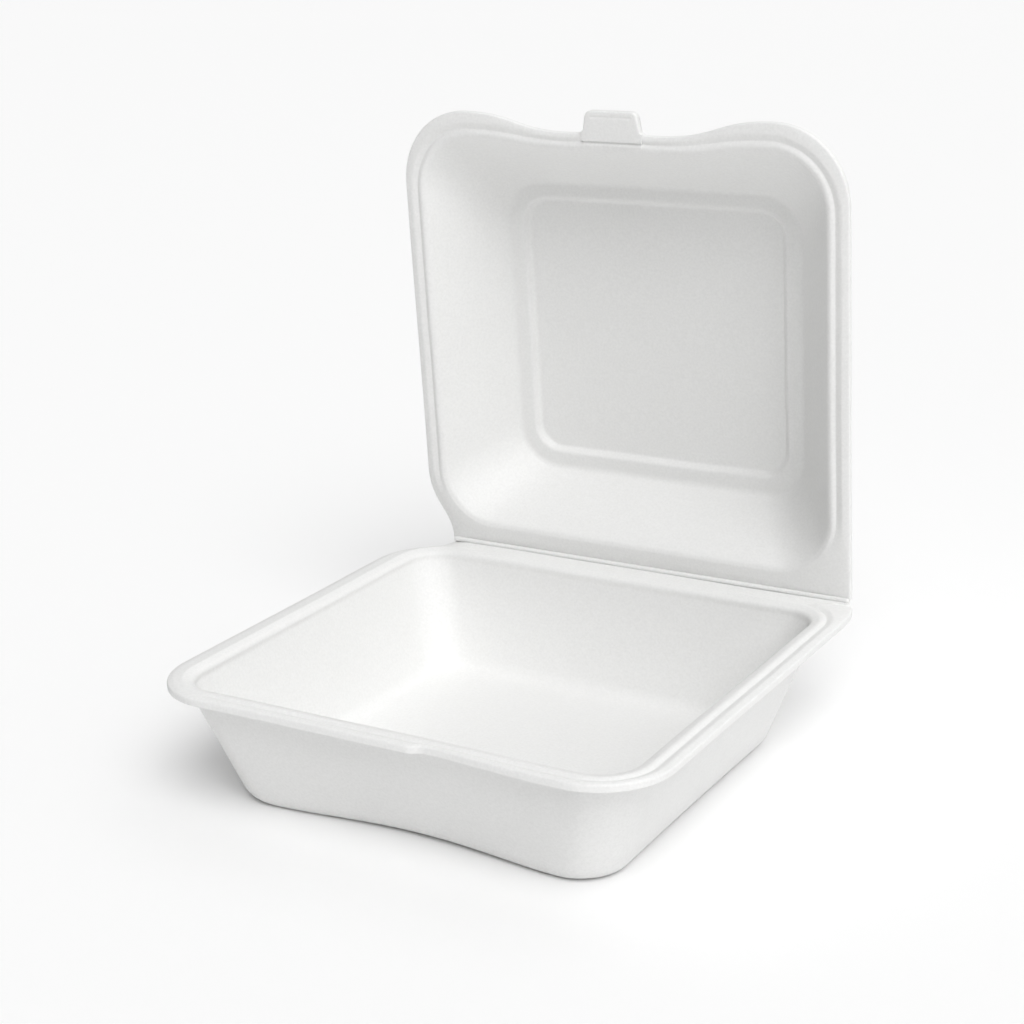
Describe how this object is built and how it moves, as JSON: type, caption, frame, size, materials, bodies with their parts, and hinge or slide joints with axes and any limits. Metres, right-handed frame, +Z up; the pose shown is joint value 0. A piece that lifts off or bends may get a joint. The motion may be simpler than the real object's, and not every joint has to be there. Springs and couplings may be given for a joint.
{
  "type": "foam clamshell food box",
  "caption": "White foam clamshell food box, hinged lid standing open over a shallow square tray, with a small fold-back tab on the lid's front edge.",
  "frame": {"origin": "on the floor, under the middle of the tray's rim between its front lip and the hinge", "axes": "+X along the hinge to the right seen from the front, +Y from the front towards the hinge, +Z up"},
  "size_m": [0.15, 0.1647, 0.1735],
  "materials": {
    "foam": "matte white expanded polystyrene foam sheet"
  },
  "bodies": {
    "tray": {"tray": "foam"},
    "lid": {"lid": "foam"},
    "front_tab": {"front_tab": "foam"}
  },
  "joints": [
    {"name": "lid_hinge", "type": "hinge", "parent": "tray", "child": "lid", "pos_m": [0, 0.06975, 0.03615], "axis": [1, 0, 0], "range_deg": [-93, 87]},
    {"name": "tab_fold", "type": "hinge", "parent": "lid", "child": "front_tab", "pos_m": [0, 0.06556, 0.16491], "axis": [-1, 0, 0], "range_deg": [0, 70]}
  ]
}
